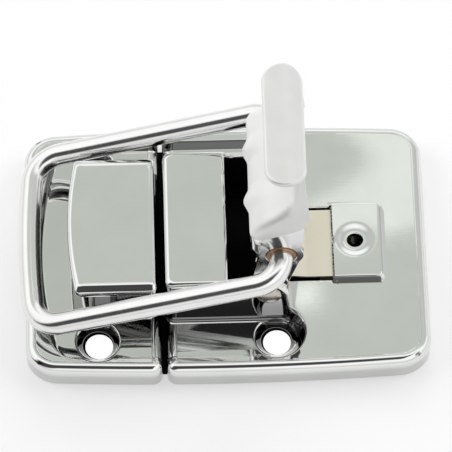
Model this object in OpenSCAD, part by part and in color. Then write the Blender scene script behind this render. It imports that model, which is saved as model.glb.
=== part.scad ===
// Draw latch for a case lid: keeper plate, latch plate, lever and wire bail.
// X runs along the pull, Y across it, Z up from the mounting surface.
// The origin lies midway between the two main screws of the latch plate.

/* [Plates] */
// Length of the keeper plate
keeper_len = 22; // [21.5:0.1:24]
// Length of the latch plate
latch_len = 42.7; // [41:0.1:47]
// Depth of both plates at the middle of the long sides
plate_depth = 46; // [45.5:0.1:48]
// Height of the plates above the mounting surface
plate_h = 4.5; // [4.3:0.1:4.7]
// Gap between the two plates
split_gap = 0.7; // [0.4:0.1:1]
// Outward bow of the long sides
side_bow = 1.1; // [0.2:0.1:1.4]
// Corner radius at the two outer ends
corner_r = 5; // [4:0.2:6]
// Radius rolled along the top edges
edge_r = 1.5; // [1.2:0.1:1.7]
// Thickness of the plate sheet
sheet = 1; // [0.8:0.05:1]

/* [Screw holes] */
// Diameter of the four main screw holes
screw_d = 5; // [4:0.1:5.2]
// Distance between the front and rear screws
screw_pitch = 32; // [31.4:0.1:32.6]
// Width of the countersink
sink_d = 8.4; // [7.6:0.1:8.6]
// Distance from the split to the keeper screws
keeper_screw_x = 10.7; // [9.5:0.1:12]
// Distance from the split to the latch screws
latch_screw_x = 18.1; // [17.6:0.1:18.6]
// Diameter of the screw hole in the bridge
bridge_screw_d = 2.7; // [2.2:0.1:3.2]

/* [Troughs] */
// Height of the trough floor
trough_z = 2.6; // [2.4:0.1:2.8]
// Width of a trough at the plate surface
trough_w = 8.8; // [8.6:0.1:9.2]

/* [Hook] */
// Height of the keeper hook
hook_h = 12.7; // [12.5:0.1:13.4]
// Width of the keeper hook
hook_w = 24.8; // [24:0.1:25]
// Length of the cap of the hook
hook_len = 14.2; // [14:0.1:14.4]
// Bow of the free edge of the cap
hook_bow = 1.2; // [0.6:0.1:1.4]
// Depth of the lip turned down round the cap
hook_lip = 2.2; // [1.6:0.1:2.3]

/* [Hood] */
// Height of the hood
hood_h = 14; // [13.6:0.1:14.6]
// Length of the hood
hood_len = 10; // [9:0.1:10.4]

/* [Lever] */
// Distance from the split to the lever pivot
pivot_x = 17; // [16.8:0.1:17.4]
// Height of the lever pivot
pivot_z = 10.2; // [10.1:0.1:10.8]
// Diameter of the pivot pin
pin_d = 3; // [2.6:0.1:3.4]
// Height of the finger lip of the open lever
lever_top = 42.4; // [42:0.2:45]
// Width over the two lugs
lug_w = 22.4; // [22:0.1:23]
// Clearance between each lug and the ear beside it
ear_gap = 0.3; // [0.25:0.05:0.4]
// Width over the rounded head
head_w = 23.4; // [23:0.1:24]
// Length of the finger lip
lip_len = 22.1; // [21.5:0.1:22.8]
// Height that the two grip ribs stand proud
rib_h = 0.7; // [0.4:0.1:0.9]

/* [Bail] */
// Diameter of the bail wire
wire_d = 3.6; // [3:0.1:3.7]
// Clearance between the arms of the shut bail and the pin heads
arm_gap = 0.5; // [0.4:0.1:0.8]
// Length from the bail holes to the end of the loop
bail_len = 42.7; // [42.4:0.1:43]
// Slope of the bail in the open position
bail_slope = 19; // [18.6:0.1:19.4]
// Outside diameter of the bail bushes
bush_d = 4.8; // [4.6:0.1:5.2]

/* [Hidden] */
$fn = 48;

plate_col = "lightgray";
wire_col = "silver";
spring_col = "tan";
bush_col = "peru";

// The model is drawn from the split line and then moved to the latch screws.
shift = [-latch_screw_x, 0, 0];
half_gap = split_gap / 2;
half_d = plate_depth / 2;
screw_y = screw_pitch / 2;
bow_mid = (latch_len - keeper_len) / 2;
bow_half = (latch_len + keeper_len + split_gap) / 2;
split_r = 1.7;
run_gap = 0.05;
eps = 0.02;
below = -1;

hood_x0 = half_gap;
hood_x1 = half_gap + hood_len;
ear_t = 1.1;
ear_r = 3.2;
lug_half = lug_w / 2;
hood_half = lug_half + ear_gap + ear_t;
hood_w = 2 * hood_half;
lug_t = 1;
heel_r = 3;
lug_rim = 1.2;
pin_r = pin_d / 2;
wire_r = wire_d / 2;
bush_r = bush_d / 2;

bail_x = 18.9;
bail_z = 20.6;
elbow_r = 4.2;
bail_corner_r = 5;
bail_end_r = 130;
pin_head_t = 0.9;
arm_y = hood_half + pin_head_t + arm_gap + wire_r;

window_half = 6.9;
window_x1 = 27.6;
bridge_x1 = 35.5;
bridge_rise = 1.2;
bridge_side = 0.6;
bridge_half = 6.8;
bridge_screw_x = 31.4;
dimple_d = 6.4;
dimple_depth = 0.2;
spring_t = 0.45;
spring_half = 6.2;
spring_fold_x = 23.4;
spring_end_x = 14.6;
spring_rise = 9.5;

trough_top_r = trough_w / 2;
trough_floor_r = trough_top_r - 1.1;
hook_x1 = -half_gap - 0.65;
hook_wall = 2.2;
hook_half = hook_w / 2;
hook_edge_r = 0.8;
hood_edge_r = 0.9;

head_z0 = 26.2;
head_z1 = lever_top - 1.2;
head_half = head_w / 2;
head_x0 = 13.8;
head_x1 = 23.2;
face_x = head_x0 + 0.4;
rib_y = 4.6;
rib_half = 1.5;
lip_x0 = 16.35;
lip_x1 = 20.1;
lip_x2 = 22.3;
lip_drop = 1.5;

// One quarter turn of an outline corner.
function quarter(cx, cy, r, a0, n) =
  [for (i = [0:n]) [cx + r * cos(a0 + 90 * i / n), cy + r * sin(a0 + 90 * i / n)]];

// Points strictly between two ends of a straight side.
function between(p, q, n) = [for (i = [1:n - 1]) p + (q - p) * i / n];

// Rounded rectangle from x0 to x1, with radius ra at x0 and rb at x1.
function outline(x0, x1, h, ra, rb, n, m) = concat(
  quarter(x1 - rb, h - rb, rb, 0, n),
  between([x1 - rb, h], [x0 + ra, h], m),
  quarter(x0 + ra, h - ra, ra, 90, n),
  between([x0, h - ra], [x0, ra - h], m),
  quarter(x0 + ra, ra - h, ra, 180, n),
  between([x0 + ra, -h], [x1 - rb, -h], m),
  quarter(x1 - rb, rb - h, rb, 270, n));

// Narrows an outline towards both ends of the latch, so that its sides bow.
function bowed(p) =
  [p[0], p[1] * (1 - side_bow / half_d * pow((p[0] - bow_mid) / bow_half, 2))];

function at_z(ring, z) = [for (p = ring) [p[0], p[1], z]];

// Closed solid through a stack of rings with equal counts.
module skin(rings) {
  n = len(rings[0]);
  k = len(rings);
  sides = [for (j = [0:k - 2], i = [0:n - 1], s = [0, 1])
    s == 0
      ? [j * n + i, (j + 1) * n + i, (j + 1) * n + (i + 1) % n]
      : [j * n + i, (j + 1) * n + (i + 1) % n, j * n + (i + 1) % n]];
  bottom = [[for (i = [0:n - 1]) i]];
  top = [[for (i = [0:n - 1]) k * n - 1 - i]];
  polyhedron([for (r = rings) each r], concat(sides, bottom, top));
}

// Heights and insets of a wall that ends in a rolled edge of radius r.
function rolled(z0, z1, r, inset, n) = concat(
  [[z0, inset]],
  [for (i = [0:n]) [z1 - r + r * sin(90 * i / n), inset + r * (1 - cos(90 * i / n))]]);

module plate_solid(x0, x1, ra, rb, inset, z0, z1, r) {
  skin([for (s = rolled(z0, z1, r, inset, 4))
    at_z([for (p = outline(x0 + s[1], x1 - s[1], half_d - s[1],
                           max(ra - s[1], 0.2), max(rb - s[1], 0.2), 5, 6)) bowed(p)], s[0])]);
}

module both_sides() {
  children();
  mirror([0, 1, 0]) children();
}

// Cross-section of a trough or dish, floor at z and walls spread by grow.
module trough_profile(z, grow) {
  polygon([[-trough_floor_r - grow, z], [trough_floor_r + grow, z],
           [trough_top_r + grow, plate_h + eps], [-trough_top_r - grow, plate_h + eps]]);
}

module trough_along_x(x0, x1, z, grow) {
  translate([x0, 0, 0]) rotate([90, 0, 90])
    linear_extrude(x1 - x0) trough_profile(z, grow);
}

module trough_end(z, grow) {
  translate([0, 0, z])
    cylinder(h = plate_h + eps - z, r1 = trough_floor_r + grow, r2 = trough_top_r + grow);
}

// Screw dimple: pressed down to the mounting surface, with a conical seat.
module dimple_body() {
  cylinder(h = trough_z, r1 = screw_d / 2 + sheet, r2 = sink_d / 2 + sheet / 2);
}

module dimple_cut() {
  translate([0, 0, below]) cylinder(h = plate_h, d = screw_d);
  translate([0, 0, sheet]) cylinder(h = trough_z - sheet + eps, d1 = screw_d, d2 = sink_d);
}

// Keeper plate
keeper_x0 = -half_gap - keeper_len;
keeper_x1 = -half_gap;
dish_x = keeper_x0 + trough_top_r + 2.3;

module keeper_dish(z, grow) {
  both_sides() translate([dish_x, screw_y, 0]) trough_end(z, grow);
  both_sides() translate([0, screw_y, 0]) trough_along_x(dish_x, half_gap, z, grow);
  translate([dish_x, 0, 0]) rotate([0, 0, 90]) trough_along_x(-screw_y, screw_y, z, grow);
  translate([dish_x, -screw_y, z]) cube([half_gap - dish_x, screw_pitch, plate_h + eps - z]);
}

// Outline of the cap or of the box below it, with the free edge bowed.
function hook_ring(x0, x1, h, r, z) =
  [for (p = outline(x0, x1, h, r, r, 4, 8))
    [p[0] - hook_bow * (1 - pow(p[1] / h, 2)) * (x1 - p[0]) / (x1 - x0), p[1], z]];

hook_x0 = hook_x1 - hook_len + hook_bow;
box_x0 = hook_x0 + hook_wall;
box_half = hook_half - 0.9;

module hook_cap(inset, z0, z1, r) {
  skin([for (s = rolled(z0, z1, r, inset, 4))
    hook_ring(hook_x0 + s[1], hook_x1 - s[1], hook_half - s[1], 1.6 - s[1] / 2, s[0])]);
}

module hook_box(inset, z0, z1) {
  skin([for (z = [z0, z1])
    hook_ring(box_x0 + inset, hook_x1 - inset, box_half - inset, 1, z)]);
}

module keeper_plate() {
  color(plate_col) translate(shift) difference() {
    union() {
      difference() {
        plate_solid(keeper_x0, keeper_x1, corner_r, split_r, 0, 0, plate_h, edge_r);
        difference() {
          plate_solid(keeper_x0, keeper_x1, corner_r, split_r, sheet, below, plate_h - sheet,
                      edge_r - sheet / 2);
          keeper_dish(trough_z - sheet, sheet);
          both_sides() translate([-keeper_screw_x, screw_y, 0]) dimple_body();
        }
        difference() {
          keeper_dish(trough_z, 0);
          hook_box(0, below, plate_h + 1);
        }
      }
      hook_box(0, trough_z - sheet / 2, hook_h - sheet / 2);
      hook_cap(0, hook_h - hook_lip, hook_h, hook_edge_r);
    }
    hook_box(sheet, below, hook_h - sheet);
    both_sides() translate([-keeper_screw_x, screw_y, 0]) dimple_cut();
  }
}

// Latch plate
latch_x0 = half_gap;
latch_x1 = half_gap + latch_len;

module latch_trough(z, grow) {
  both_sides() translate([0, screw_y, 0]) {
    trough_along_x(-half_gap, latch_screw_x, z, grow);
    translate([latch_screw_x, 0, 0]) trough_end(z, grow);
  }
}

module hood_solid(inset, x1, z0, z1, r) {
  skin([for (s = rolled(z0, z1, r, inset, 4))
    at_z(outline(hood_x0 + s[1], x1, hood_half - s[1], 1.4, 0.02, 4, 6), s[0])]);
}

module ear_profile() {
  translate([pivot_x, pivot_z]) circle(ear_r);
  translate([hood_x1 - 1, trough_z - sheet / 2])
    square([pivot_x - hood_x1 + 1, pivot_z + ear_r - trough_z + sheet / 2]);
  translate([hood_x1 - 1, trough_z - sheet / 2])
    square([pivot_x + ear_r - hood_x1 + 1, pivot_z - trough_z + sheet / 2]);
}

module ear() {
  translate([0, hood_half, 0]) rotate([90, 0, 0]) linear_extrude(ear_t) ear_profile();
}

// Raised strip over the leaf spring, sheared open towards the window.
module bridge_solid(inset, x0, z0) {
  z1 = plate_h + bridge_rise - inset;
  base = bridge_half + bridge_side - inset;
  end = bridge_x1 + bridge_side - inset;
  intersection() {
    translate([x0, 0, 0]) rotate([90, 0, 90]) linear_extrude(end)
      polygon([[-base, z0], [base, z0], [base, plate_h - inset],
               [bridge_half - inset / 2, z1], [inset / 2 - bridge_half, z1], [-base, plate_h - inset]]);
    translate([0, base, 0]) rotate([90, 0, 0]) linear_extrude(2 * base)
      polygon([[x0, z0], [end, z0], [end, plate_h - inset], [bridge_x1 - inset / 2, z1], [x0, z1]]);
  }
}

module latch_plate() {
  color(plate_col) translate(shift) difference() {
    union() {
      difference() {
        plate_solid(latch_x0, latch_x1, split_r, corner_r, 0, 0, plate_h, edge_r);
        difference() {
          plate_solid(latch_x0, latch_x1, split_r, corner_r, sheet, below, plate_h - sheet,
                      edge_r - sheet / 2);
          latch_trough(trough_z - sheet, sheet);
          both_sides() translate([latch_screw_x, screw_y, 0]) dimple_body();
        }
        latch_trough(trough_z, 0);
      }
      hood_solid(0, hood_x1, trough_z - sheet / 2, hood_h, hood_edge_r);
      both_sides() ear();
      bridge_solid(0, window_x1, plate_h - sheet);
    }
    hood_solid(sheet, hood_x1 + 1, below, hood_h - sheet, hood_edge_r - sheet / 2);
    translate([hood_x1, ear_t - hood_half, below])
      cube([pivot_x + ear_r - hood_x1, hood_w - 2 * ear_t, plate_h + 2]);
    translate([hood_x1, -window_half, below])
      cube([window_x1 - hood_x1 + eps, 2 * window_half, plate_h + 2]);
    bridge_solid(sheet, window_x1 - 1, below);
    both_sides() translate([latch_screw_x, screw_y, 0]) dimple_cut();
    translate([bridge_screw_x, 0, plate_h + bridge_rise - sheet - 1])
      cylinder(h = sheet + 2, d = bridge_screw_d);
    translate([bridge_screw_x, 0, plate_h + bridge_rise - dimple_depth])
      cylinder(h = dimple_depth + eps, d1 = bridge_screw_d + 1, d2 = dimple_d);
    translate([pivot_x, hood_half + 1, pivot_z]) rotate([90, 0, 0])
      cylinder(h = hood_w + 2, r = pin_r);
  }
}

// Pivot pin with two riveted heads
module pivot_pin() {
  color(wire_col) translate(shift) translate([pivot_x, 0, pivot_z]) rotate([90, 0, 0]) {
    cylinder(h = hood_w, r = pin_r, center = true);
    for (s = [0, 1]) mirror([0, 0, s]) translate([0, 0, hood_half])
      cylinder(h = pin_head_t, r1 = pin_r + 0.6, r2 = pin_r);
  }
}

// Leaf spring folded double: the foot lies on the mounting surface.
spring_z = plate_h + bridge_rise - sheet;
spring_bend_x = bridge_x1 - spring_z / 2 - 0.5;
spring_hole_d = bridge_screw_d + 1;

module leaf_spring() {
  color(spring_col) translate(shift) difference() {
    union() {
      translate([spring_fold_x, -spring_half, spring_z - spring_t])
        cube([spring_bend_x - spring_fold_x, 2 * spring_half, spring_t]);
      translate([window_x1 - 2, -spring_half, 0])
        cube([spring_bend_x - window_x1 + 2, 2 * spring_half, spring_t]);
      translate([spring_bend_x, spring_half, spring_z / 2]) rotate([90, -90, 0])
        rotate_extrude(angle = 180, $fn = 64) translate([spring_z / 2 - spring_t, 0])
          square([spring_t, 2 * spring_half]);
      translate([spring_fold_x, 0, spring_z]) rotate([0, spring_rise, 0])
        translate([spring_end_x - spring_fold_x, -spring_half, -spring_t])
          cube([spring_fold_x - spring_end_x + eps, 2 * spring_half, spring_t]);
    }
    translate([bridge_screw_x, 0, below]) cylinder(h = plate_h + 3, d = spring_hole_d);
  }
}

// Lever: lugs, outer face, heel tab, ribbed head and finger lip in one sheet.
head_steps = [0, 0.05, 0.1, 0.16, 0.22, 0.28, 0.34, 0.4, 0.46, 0.52, 0.6, 0.8, 1];
head_right_turn = 0.15;
face_lap = 0.8;

function grow_at(z, table) = lookup((z - head_z0) / (head_z1 - head_z0), table);

// The shoulder is low: above it the sheet draws back to a web on the inner side, which carries
// the finger lip and leaves room for a finger under it.
function head_left(z) = head_x0
  + grow_at(z, [[0, 0], [0.06, 0.1], [0.16, 0.9], [0.27, 2.4],
                [0.36, 4.4], [0.46, 6.3], [0.56, 7], [1, 7.2]]);
function head_right(z) = head_x1 - grow_at(z, [[0, 0], [0.35, 0], [0.6, 0.4], [1, 0.9]]);
function head_wide(z) = head_half
  - grow_at(z, [[0, 0], [0.2, 0.1], [0.3, 0.5], [0.45, 1.4], [0.7, 2], [1, 2.4]]);
function rib_at(y, z) = rib_h * grow_at(z, [[0, 1], [0.15, 0.9], [0.3, 0.2], [0.36, 0]])
  * (pow(cos(min(90, 90 * abs(abs(y) - rib_y) / rib_half)), 2));

// Corner radius on the outer side: tight at the rim, where the lugs join, and round above.
function head_turn(z) = (head_right(z) - head_left(z))
  * grow_at(z, [[0, 0.15], [0.1, 0.16], [0.27, 0.32], [1, 0.34]]);

function head_ring(z, inset, x1) =
  [for (p = outline(head_left(z) + inset, x1, head_wide(z) - inset, max(head_turn(z) - inset, 0.3),
                    inset > 0 ? 0.2 : (x1 - head_left(z)) * head_right_turn, 5, 20))
    [p[0] - (p[0] < head_left(z) + inset + 0.1 ? rib_at(p[1], z) : 0), p[1], z]];

module head_outer() {
  skin([for (t = head_steps)
    let (z = head_z0 + (head_z1 - head_z0) * t) head_ring(z, 0, head_right(z))]);
}

module head_inner() {
  skin([for (t = head_steps)
    let (z = below + head_z0 + (head_z1 - 1.8 * sheet - head_z0 - below) * t)
    head_ring(z, sheet, head_x1 + 4)]);
}

// The lower rim of the head rises from the outer face to the open side.
module head_rim_cut() {
  translate([0, head_half + 1, 0]) rotate([90, 0, 0]) linear_extrude(head_w + 2)
    polygon([[head_x0 - 2, head_z0 - 2], [head_x1 + 2, head_z0 - 2],
             [head_x1 + 2, head_z0 + 4.6], [head_x0 + 2.6, head_z0 + 0.4], [head_x0 - 2, head_z0 + 0.2]]);
}

module lug_profile() {
  translate([pivot_x, pivot_z]) circle(heel_r);
  translate([bail_x, bail_z]) circle(bush_r + lug_rim);
  polygon([[pivot_x - heel_r + 0.3, pivot_z - 0.4], [pivot_x + heel_r - 0.3, pivot_z - 0.4],
           [bail_x + bush_r, bail_z - 1.6], [head_x1 - 0.6, head_z0 + 3],
           [head_x1 - 0.6, head_z0 + 4.2], [face_x + 2, head_z0 + 2],
           [face_x, head_z0], [face_x, bail_z], [face_x + 0.8, bail_z - 1.6]]);
}

module lug() {
  translate([0, lug_half, 0]) rotate([90, 0, 0]) linear_extrude(lug_t) lug_profile();
}

module outer_face() {
  translate([face_x, -lug_half, bail_z]) cube([lug_t, lug_w, head_z0 + face_lap - bail_z]);
}

// Heel tab: runs down between the lugs and curls under the pivot pin as a cam.
heel_half = 5.6;
tab_r = pivot_x - face_x;
tab_drop = 1.2;

module heel_tab() {
  translate([face_x, -heel_half, pivot_z - tab_drop])
    cube([lug_t, 2 * heel_half, bail_z + lug_t - pivot_z + tab_drop]);
  translate([pivot_x, heel_half, pivot_z - tab_drop]) rotate([90, 180, 0])
    rotate_extrude(angle = 90) translate([tab_r - lug_t, 0]) square([lug_t, 2 * heel_half]);
}

// Finger lip: a long plate with round ends and one edge turned down.
module lip_plan(x0, x1) {
  r = (lip_x2 - lip_x0) / 2;
  intersection() {
    union() {
      for (s = [-1, 1]) translate([(lip_x0 + lip_x2) / 2, s * (lip_len / 2 - r)]) circle(r);
      translate([lip_x0, r - lip_len / 2]) square([lip_x2 - lip_x0, lip_len - 2 * r]);
    }
    translate([x0, -lip_len]) square([x1 - x0, 2 * lip_len]);
  }
}

module finger_lip() {
  translate([0, 0, lever_top - lug_t]) linear_extrude(lug_t) lip_plan(lip_x0, lip_x1);
  intersection() {
    translate([0, 0, lever_top - 4]) linear_extrude(5) lip_plan(lip_x1, lip_x2);
    translate([0, lip_len, 0]) rotate([90, 0, 0]) linear_extrude(2 * lip_len)
      polygon([[lip_x1, lever_top], [lip_x2 + 1, lever_top - lip_drop],
               [lip_x2 + 1, lever_top - lip_drop - lug_t], [lip_x1, lever_top - lug_t]]);
  }
}

module lever() {
  color(plate_col) translate(shift) difference() {
    union() {
      difference() {
        head_outer();
        head_inner();
        head_rim_cut();
      }
      both_sides() lug();
      outer_face();
      heel_tab();
      finger_lip();
    }
    translate([pivot_x, lug_half + 1, pivot_z]) rotate([90, 0, 0])
      cylinder(h = lug_w + 2, r = pin_r + run_gap);
    translate([bail_x, lug_half + 1, bail_z]) rotate([90, 0, 0])
      cylinder(h = lug_w + 2, r = bush_r + run_gap);
  }
}

// Flanged bush in each lug, round the end of the wire
bush_flange_t = 0.5;
bush_stand = 0.15;

module bush() {
  translate([bail_x, lug_half + bush_stand, bail_z]) rotate([90, 0, 0]) difference() {
    union() {
      cylinder(h = lug_t + bush_stand + bush_flange_t, r = bush_r);
      translate([0, 0, lug_t + bush_stand + run_gap])
        cylinder(h = bush_flange_t, r = bush_r + 0.7);
    }
    translate([0, 0, below]) cylinder(h = lug_t + 4, r = wire_r + run_gap);
  }
}

module bail_bush_rear() {
  color(bush_col) translate(shift) bush();
}

module bail_bush_front() {
  color(bush_col) translate(shift) mirror([0, 1, 0]) bush();
}

// Bail: one length of round wire, drawn flat and then set to its slope.
end_angle = asin((arm_y - bail_corner_r) / (bail_end_r - bail_corner_r));
end_x = bail_end_r - bail_len;
corner_x = end_x - (bail_end_r - bail_corner_r) * cos(end_angle);
// The loop end is a hair thinner and longer, so that it seats in the corner bends.
seat_step = 0.01;
seat_turn = 0.02;
stub_y = lug_half - lug_t - bush_flange_t - 0.4;

// Round bar along X from x0 to x1.
module bar_x(x0, x1) {
  translate([x0, 0, 0]) rotate([0, 90, 0]) cylinder(h = x1 - x0, r = wire_r);
}

module wire_arc(r, a0, turn, bar_r) {
  rotate([0, 0, a0]) rotate_extrude(angle = turn, $fn = 96) translate([r, 0]) circle(bar_r);
}

module half_bail() {
  translate([corner_x, arm_y - bail_corner_r, 0]) wire_arc(bail_corner_r, 90, 90 - end_angle, wire_r);
  translate([0, arm_y, 0]) bar_x(corner_x, -elbow_r);
  translate([-elbow_r, arm_y - elbow_r, 0]) wire_arc(elbow_r, 0, 90, wire_r);
  translate([0, arm_y - elbow_r, 0]) rotate([90, 0, 0])
    cylinder(h = arm_y - elbow_r - stub_y, r = wire_r);
}

module bail() {
  color(wire_col) translate(shift) translate([bail_x, 0, bail_z]) rotate([0, -bail_slope, 0]) {
    both_sides() half_bail();
    translate([end_x, 0, 0])
      wire_arc(bail_end_r, 180 - end_angle - seat_turn, 2 * (end_angle + seat_turn), wire_r - seat_step);
  }
}

keeper_plate();
latch_plate();
pivot_pin();
leaf_spring();
lever();
bail_bush_front();
bail_bush_rear();
bail();
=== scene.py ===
"""Looks of the draw latch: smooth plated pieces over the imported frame, soft studio light, the photograph's camera."""

import math

import bpy
import numpy as np
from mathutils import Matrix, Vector, geometry


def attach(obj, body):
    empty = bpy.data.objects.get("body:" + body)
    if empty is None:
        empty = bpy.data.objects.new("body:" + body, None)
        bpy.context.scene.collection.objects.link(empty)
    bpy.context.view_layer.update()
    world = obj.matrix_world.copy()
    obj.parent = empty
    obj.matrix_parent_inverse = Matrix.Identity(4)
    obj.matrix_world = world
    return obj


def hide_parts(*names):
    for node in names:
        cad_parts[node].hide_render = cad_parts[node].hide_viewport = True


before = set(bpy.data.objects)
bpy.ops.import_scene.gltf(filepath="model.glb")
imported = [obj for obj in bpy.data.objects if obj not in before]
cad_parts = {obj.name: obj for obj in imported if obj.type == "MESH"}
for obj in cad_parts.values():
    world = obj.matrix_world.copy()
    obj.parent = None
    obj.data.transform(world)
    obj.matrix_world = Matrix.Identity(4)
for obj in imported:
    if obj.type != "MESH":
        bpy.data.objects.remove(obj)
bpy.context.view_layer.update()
scene = bpy.context.scene
MM = 0.001

# Sizes in mm, measured from the split line between the plates, as in the part's source.
ORIGIN_X = 18.1
HALF_GAP = 0.35
KEEPER_X0 = -22.35
LATCH_X1 = 43.05
HALF_D = 23.0
PLATE_H = 4.5
SIDE_BOW = 1.1
BOW_MID = 10.35
BOW_HALF = 32.7
CORNER_R = 5.0
SPLIT_R = 1.7
EDGE_R = 1.5
EDGE_FLAT = 0.15
MIN_R = 0.2
SKIRT_STEPS = (0, 0.03, 0.4, 0.75)
SHEET = 1.0
SCREW_R = 2.5
SINK_R = 3.55
SEAT_R = 5.2
SEAT_REACH = 6.0
SEAT_BLEND = 0.25
SCREW_Y = 16.0
KEEPER_SCREW_X = -10.7
LATCH_SCREW_X = 18.1
TROUGH_Z = 2.6
DISH_X = -16.1
DISH_BOW = 0.008
TROUGH_R0 = 3.45
TROUGH_R1 = 4.2
HOOK_X1 = -1.0
HOOK_X0 = -14.0
HOOK_HALF = 12.4
HOOK_BOW = 1.2
HOOK_H = 12.7
HOOK_LIP = 2.2
HOOK_WALL = 2.2
HOOK_EDGE = 0.8
HOOK_SIDE = 0.9
HOOK_FOOT_R = 0.8
HOOK_BEVEL = ((-0.8, 0), (-0.7, 0.03), (-0.6, 0.12), (-0.15, 0.9), (-0.05, 1.15), (0, 1.5))
HOOK_CORNER = 0.8
HOOD_X0 = 0.36
HOOD_X1 = 10.35
HOOD_HALF = 12.6
HOOD_H = 14.0
HOOD_EDGE = 0.9
HOOD_CORNER = 1.4
HOOD_FOOT_R = 0.7
CROWN = 0.03
EAR_T = 1.1
EAR_R = 3.2
PIVOT = (17.0, 10.2)
PIN_R = 1.5
WINDOW_HALF = 6.9
WINDOW_X1 = 27.6
BRIDGE_X1 = 35.5
BRIDGE_HALF = 6.8
BRIDGE_RISE = 1.2
BRIDGE_SIDE = 0.6
BRIDGE_R = 0.8
BRIDGE_LIP = 0.12
DIMPLE_H = 0.22
DIMPLE_R = 3.3
DIMPLE_SIDE = 1.5
BRIDGE_SCREW_X = 31.4
BRIDGE_SCREW_R = 1.35
BAIL_AXIS = (18.9, 20.6)
WIRE_R = 1.8
ARM_Y = 15.8
BAIL_LEN = 42.7
BAIL_SLOPE = math.radians(19)
ELBOW_R = 4.2
BAIL_CORNER_R = 5.0
BAIL_END_R = 130.0
STUB_Y = 9.3
LUG_HALF = 11.2
LUG_T = 1.0
HEEL_R = 3.0
BUSH_R = 2.4
LUG_RIM = 1.2
FACE_X = 14.2
HEAD_X0 = 13.8
HEAD_X1 = 23.2
HEAD_HALF = 11.7
HEAD_Z0 = 26.2
LEVER_TOP = 42.4
HEAD_Z1 = LEVER_TOP - 1.2
RIM_R = 0.35
RIM_CORNER = 1.6
RIB_Y = 4.6
RIB_HALF = 2.5
RIB_H = 0.8
LIP_X = (16.15, 20.5, 22.7)
LIP_Y = (-11.05, 11.4)
LIP_SLOPE = 0.42
LIP_CROWN = 0.022
LIP_BLEND = 1.1
LIP_EDGE = 0.45
HEEL_HALF = 5.6
TAB_DROP = 1.2
GRID = 0.22


def smooth(t):
    t = np.clip(t, 0, 1)
    return t * t * (3 - 2 * t)


def soft_min(a, b, k):
    h = np.clip(0.5 + 0.5 * (b - a) / k, 0, 1)
    return b * (1 - h) + a * h - k * h * (1 - h)


# Meshes: shells of vertices and faces in mm, joined into one object each.
class Shells:
    def __init__(self):
        self.verts = []
        self.faces = []

    def add(self, verts, faces):
        n = len(self.verts)
        self.verts += [tuple(v) for v in verts]
        self.faces += [tuple(i + n for i in f) for f in faces]

    def loft(self, rings, closed=True, top=False, bottom=False):
        n = len(rings[0])
        faces = []
        for j in range(len(rings) - 1):
            for i in range(n if closed else n - 1):
                k = (i + 1) % n
                faces.append((j * n + i, j * n + k, (j + 1) * n + k, (j + 1) * n + i))
        if top:
            faces.append(tuple((len(rings) - 1) * n + i for i in range(n)))
        if bottom:
            faces.append(tuple(range(n - 1, -1, -1)))
        self.add([p for r in rings for p in r], faces)

    def build(self, name, material, sharp=40, thickness=0, inside=None, shade=None):
        m = bpy.data.meshes.new(name)
        m.from_pydata([((x - ORIGIN_X) * MM, y * MM, z * MM) for x, y, z in self.verts], [], self.faces)
        m.polygons.foreach_set("use_smooth", [True] * len(m.polygons))
        m.set_sharp_from_angle(angle=math.radians(sharp))
        m.materials.append(material)
        if shade:
            m.attributes.new("shade", "FLOAT", "POINT").data.foreach_set("value", shade(*np.array(self.verts).T))
        o = bpy.data.objects.new(name, m)
        scene.collection.objects.link(o)
        if thickness:
            s = o.modifiers.new("sheet", "SOLIDIFY")
            s.thickness = thickness * MM
            s.offset = -1
            if inside:
                m.materials.append(inside)
                s.material_offset = 1
        return o


def arc(cx, cy, r, a0, a1, n):
    a = np.radians(np.linspace(a0, a1, n + 1))
    return np.stack([cx + r * np.cos(a), cy + r * np.sin(a)], 1)


def line(p, q, n):
    t = np.linspace(0, 1, n + 1)[1:-1, None]
    return np.array(p) * (1 - t) + np.array(q) * t


def outline(x0, x1, h, ra, rb, n, mx, my):
    """Rounded rectangle, counter-clockwise from the middle of the x1 end's rear corner."""
    return np.concatenate([
        arc(x1 - rb, h - rb, rb, 0, 90, n), line((x1 - rb, h), (x0 + ra, h), mx),
        arc(x0 + ra, h - ra, ra, 90, 180, n), line((x0, h - ra), (x0, ra - h), my),
        arc(x0 + ra, ra - h, ra, 180, 270, n), line((x0 + ra, -h), (x1 - rb, -h), mx),
        arc(x1 - rb, rb - h, rb, 270, 360, n), line((x1, rb - h), (x1, h - rb), my)])


def bowed(p):
    k = 1 - SIDE_BOW / HALF_D * ((p[:, 0] - BOW_MID) / BOW_HALF) ** 2
    return np.stack([p[:, 0], p[:, 1] * k], 1)


def inside(points, loop):
    """Which points lie inside a closed loop."""
    x, y = points[:, 0], points[:, 1]
    odd = np.zeros(len(points), bool)
    for (xa, ya), (xb, yb) in zip(loop, np.roll(loop, -1, 0)):
        if ya != yb:
            odd ^= ((ya > y) != (yb > y)) & (x < (xb - xa) * (y - ya) / (yb - ya) + xa)
    return odd


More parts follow.
